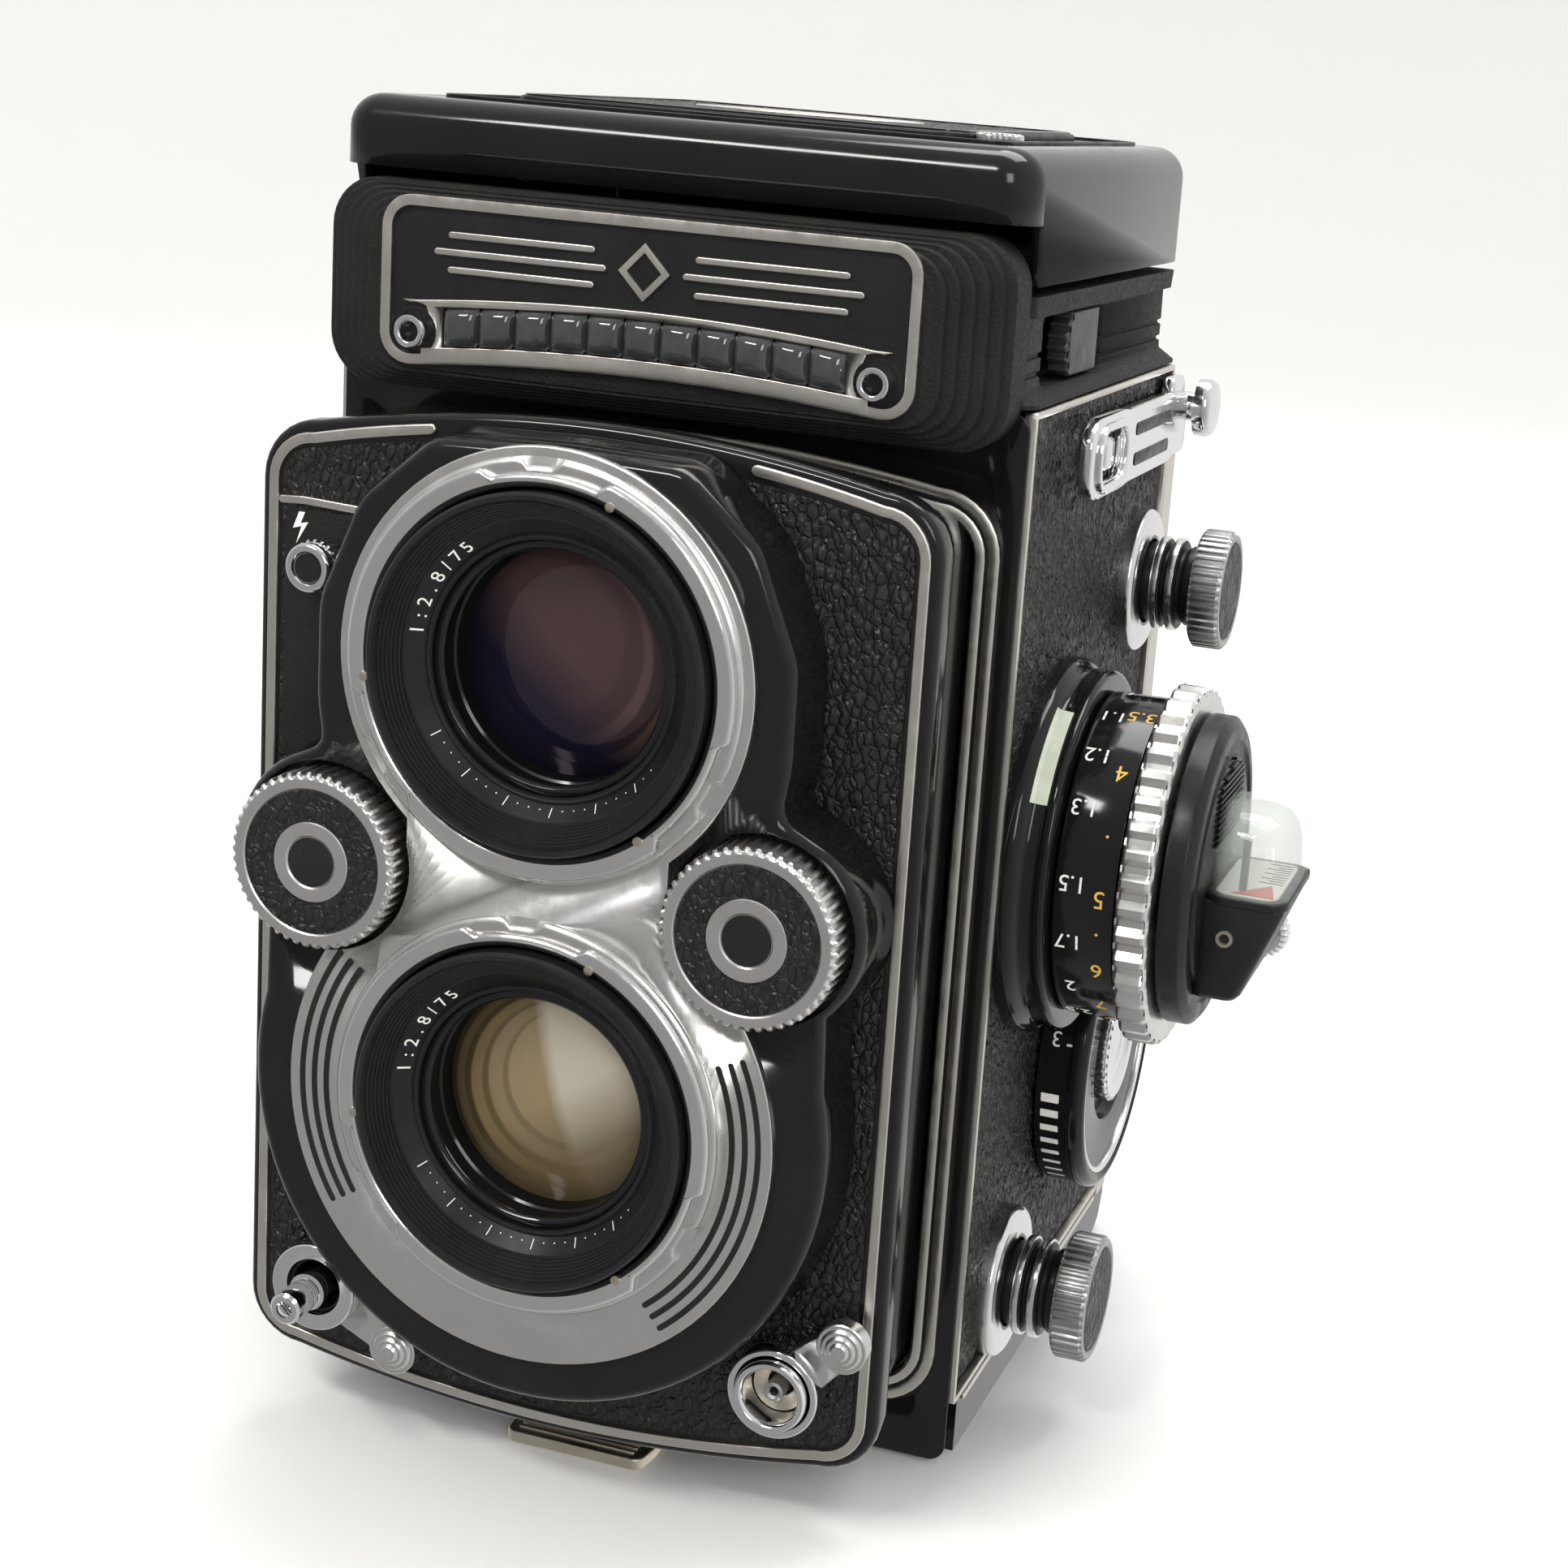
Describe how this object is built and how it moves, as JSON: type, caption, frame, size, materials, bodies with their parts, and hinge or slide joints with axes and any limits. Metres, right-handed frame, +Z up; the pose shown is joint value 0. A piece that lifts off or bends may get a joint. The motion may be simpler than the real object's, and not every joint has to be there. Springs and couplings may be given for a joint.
{
  "type": "twin lens reflex camera",
  "caption": "Twin lens reflex roll-film camera with folding waist-level hood, focusing front standard, side knobs, film crank and hinged back.",
  "frame": {"origin": "centre of the base of the closed camera's bounding box", "axes": "+Z up, lenses face -Y, +X is the side that carries the focusing knob"},
  "size_m": [0.1214, 0.1028, 0.1466],
  "materials": {
    "black_enamel": "gloss black enamel over aluminium alloy",
    "black_matt": "matt black wrinkle paint over aluminium alloy",
    "black_leather": "pebbled black leather",
    "chrome": "polished",
    "satin_silver": "satin, lightly worn",
    "cast_aluminium": "plain machined",
    "brass_worn": "nickel worn to brass",
    "lens_glass_violet": "violet coating",
    "lens_glass_amber": "amber coating",
    "clear_plastic": "clear",
    "ground_glass": "ground",
    "mirror": "front silvered",
    "red_paint": "matt red",
    "spool_plastic": "plain"
  },
  "bodies": {
    "body": {"body_casting": "black_enamel", "side_leather_left": "black_leather", "side_leather_right": "black_leather", "front_trim_frame": "satin_silver", "strap_lug_left": "chrome", "strap_lug_right": "chrome", "nameplate_housing": "black_matt", "nameplate_frame": "satin_silver", "meter_cell_window": "clear_plastic", "meter_post_left": "chrome", "meter_post_right": "chrome", "hood_base_frame": "black_matt", "focusing_screen": "ground_glass", "reflex_mirror": "mirror", "focus_flange": "black_enamel", "meter_housing": "black_matt", "meter_window": "clear_plastic", "crank_plate": "satin_silver"},
    "front_standard": {"lens_board": "black_enamel", "lens_mask": "black_enamel", "face_plate": "satin_silver", "viewing_bayonet_ring": "satin_silver", "taking_bayonet_ring": "satin_silver", "viewing_lens_barrel": "black_matt", "taking_lens_barrel": "black_matt", "viewing_front_element": "lens_glass_violet", "taking_front_element": "lens_glass_amber", "flash_socket": "chrome"},
    "focus_knob": {"focus_drum": "black_enamel", "focus_grip_ring": "satin_silver"},
    "aperture_wheel": {"aperture_wheel": "satin_silver"},
    "shutter_wheel": {"shutter_wheel": "satin_silver"},
    "release_button": {"release_button": "chrome"},
    "release_lock_lever": {"release_lock_lever": "chrome"},
    "flash_lock_lever": {"flash_lock_lever": "chrome"},
    "sync_selector": {"sync_selector": "chrome"},
    "film_speed_dial": {"film_speed_dial": "black_enamel"},
    "upper_spool_stem": {"upper_spool_stem": "black_enamel"},
    "upper_spool_knob": {"upper_spool_knob": "satin_silver"},
    "lower_spool_stem": {"lower_spool_stem": "black_enamel"},
    "lower_spool_knob": {"lower_spool_knob": "satin_silver"},
    "takeup_spool": {"takeup_spool": "spool_plastic"},
    "feed_spool": {"feed_spool": "spool_plastic"},
    "crank": {"crank_arm": "chrome"},
    "crank_handle": {"crank_handle": "black_matt"},
    "back_door": {"back_door": "black_enamel", "pressure_plate": "black_matt", "tripod_bush": "cast_aluminium"},
    "back_latch": {"back_latch": "brass_worn"},
    "hood_lid": {"hood_lid": "black_enamel"},
    "finder_flap": {"finder_flap": "black_leather"},
    "hood_side_left": {"hood_side_left": "black_matt"},
    "hood_side_right": {"hood_side_right": "black_matt"},
    "hood_back": {"hood_back": "black_matt"},
    "magnifier": {"magnifier_frame": "black_matt", "magnifier_lens": "clear_plastic"},
    "hood_release": {"hood_release": "chrome"},
    "meter_needle": {"meter_needle": "red_paint"},
    "meter_side_knob": {"meter_side_knob": "satin_silver"}
  },
  "joints": [
    {"name": "focus_turn", "type": "hinge", "parent": "body", "child": "focus_knob", "pos_m": [0.0415, 0.003, 0.0675], "axis": [1, 0, 0], "range_deg": [-229.7, 100.6]},
    {"name": "front_standard_slide", "type": "slide", "parent": "body", "child": "front_standard", "axis": [0, -1, 0], "range_m": [-0.0048, 0.0021]},
    {"name": "aperture_wheel_turn", "type": "hinge", "parent": "front_standard", "child": "aperture_wheel", "pos_m": [-0.0324, -0.0475, 0.0693], "axis": [0, 1, 0], "range_deg": [-60, 60]},
    {"name": "shutter_wheel_turn", "type": "hinge", "parent": "front_standard", "child": "shutter_wheel", "pos_m": [0.0154, -0.0475, 0.0693], "axis": [0, 1, 0], "range_deg": [-75, 75]},
    {"name": "release_press", "type": "slide", "parent": "front_standard", "child": "release_button", "axis": [0, 1, 0], "range_m": [0, 0.0025], "stiffness_N_per_m": 300},
    {"name": "release_lock_turn", "type": "hinge", "parent": "front_standard", "child": "release_lock_lever", "pos_m": [-0.0355, -0.0425, 0.018], "axis": [0, 1, 0], "range_deg": [0, 45]},
    {"name": "flash_lock_turn", "type": "hinge", "parent": "front_standard", "child": "flash_lock_lever", "pos_m": [0.0185, -0.0425, 0.018], "axis": [0, 1, 0], "range_deg": [0, 35]},
    {"name": "sync_selector_turn", "type": "hinge", "parent": "front_standard", "child": "sync_selector", "pos_m": [-0.0378, -0.0425, 0.098], "axis": [0, 1, 0], "range_deg": [-30, 30]},
    {"name": "film_speed_turn", "type": "hinge", "parent": "body", "child": "film_speed_dial", "pos_m": [0.0335, 0.024, 0.0368], "axis": [1, 0, 0], "range_deg": [-60, 60]},
    {"name": "upper_spool_pull", "type": "slide", "parent": "body", "child": "upper_spool_stem", "axis": [1, 0, 0], "range_m": [0, 0.005]},
    {"name": "upper_spool_knob_turn", "type": "hinge", "parent": "upper_spool_stem", "child": "upper_spool_knob", "pos_m": [0.0405, 0.0337, 0.0936], "axis": [1, 0, 0], "continuous": true},
    {"name": "lower_spool_pull", "type": "slide", "parent": "body", "child": "lower_spool_stem", "axis": [1, 0, 0], "range_m": [0, 0.005]},
    {"name": "lower_spool_knob_turn", "type": "hinge", "parent": "lower_spool_stem", "child": "lower_spool_knob", "pos_m": [0.0405, -0.0034, 0.0159], "axis": [1, 0, 0], "continuous": true},
    {"name": "crank_turn", "type": "hinge", "parent": "body", "child": "crank", "pos_m": [-0.0525, 0.0185, 0.064], "axis": [1, 0, 0], "continuous": true},
    {"name": "crank_handle_turn", "type": "hinge", "parent": "crank", "child": "crank_handle", "pos_m": [-0.0575, 0.0185, 0.038], "axis": [1, 0, 0], "continuous": true},
    {"name": "takeup_turn", "type": "hinge", "parent": "body", "child": "takeup_spool", "pos_m": [-0.0085, 0.0337, 0.0936], "axis": [1, 0, 0], "continuous": true},
    {"name": "feed_turn", "type": "hinge", "parent": "body", "child": "feed_spool", "pos_m": [-0.0085, -0.0034, 0.0159], "axis": [1, 0, 0], "continuous": true},
    {"name": "back_door_open", "type": "hinge", "parent": "body", "child": "back_door", "pos_m": [-0.0085, 0.0477, 0.1186], "axis": [1, 0, 0], "range_deg": [0, 115]},
    {"name": "back_latch_open", "type": "hinge", "parent": "back_door", "child": "back_latch", "pos_m": [-0.0085, -0.0181, 0.0012], "axis": [1, 0, 0], "range_deg": [0, 100]},
    {"name": "hood_lid_open", "type": "hinge", "parent": "body", "child": "hood_lid", "pos_m": [-0.0085, -0.0215, 0.141], "axis": [1, 0, 0], "range_deg": [0, 90]},
    {"name": "finder_flap_open", "type": "hinge", "parent": "hood_lid", "child": "finder_flap", "pos_m": [-0.0085, 0.0385, 0.1457], "axis": [-1, 0, 0], "range_deg": [0, 80]},
    {"name": "hood_side_left_open", "type": "hinge", "parent": "body", "child": "hood_side_left", "pos_m": [-0.045, 0.0135, 0.1326], "axis": [0, -1, 0], "range_deg": [0, 90]},
    {"name": "hood_side_right_open", "type": "hinge", "parent": "body", "child": "hood_side_right", "pos_m": [0.028, 0.0135, 0.1326], "axis": [0, 1, 0], "range_deg": [0, 90]},
    {"name": "hood_back_open", "type": "hinge", "parent": "body", "child": "hood_back", "pos_m": [-0.0085, 0.0445, 0.1364], "axis": [-1, 0, 0], "range_deg": [0, 90]},
    {"name": "magnifier_swing", "type": "hinge", "parent": "hood_lid", "child": "magnifier", "pos_m": [-0.0085, 0.0085, 0.1414], "axis": [-1, 0, 0], "range_deg": [0, 90]},
    {"name": "hood_release_slide", "type": "slide", "parent": "body", "child": "hood_release", "axis": [0, 1, 0], "range_m": [0, 0.003]},
    {"name": "meter_needle_swing", "type": "hinge", "parent": "body", "child": "meter_needle", "pos_m": [0.0548, -0.0021, 0.064], "axis": [1, 0, 0], "range_deg": [-50, 5], "stiffness_Nm_per_rad": 0.0005},
    {"name": "meter_side_knob_turn", "type": "hinge", "parent": "body", "child": "meter_side_knob", "pos_m": [0.0548, 0.015, 0.0575], "axis": [0, 1, 0], "range_deg": [-120, 120]}
  ],
  "couplings": [
    {"joint": "focus_turn", "follows": "front_standard_slide", "rad_per_m": 834.72},
    {"joint": "hood_side_left_open", "follows": "hood_lid_open", "ratio": 1},
    {"joint": "hood_side_right_open", "follows": "hood_lid_open", "ratio": 1},
    {"joint": "hood_back_open", "follows": "hood_lid_open", "ratio": 1},
    {"joint": "magnifier_swing", "follows": "hood_lid_open", "ratio": 1},
    {"joint": "takeup_turn", "follows": "crank_turn", "ratio": 1}
  ]
}
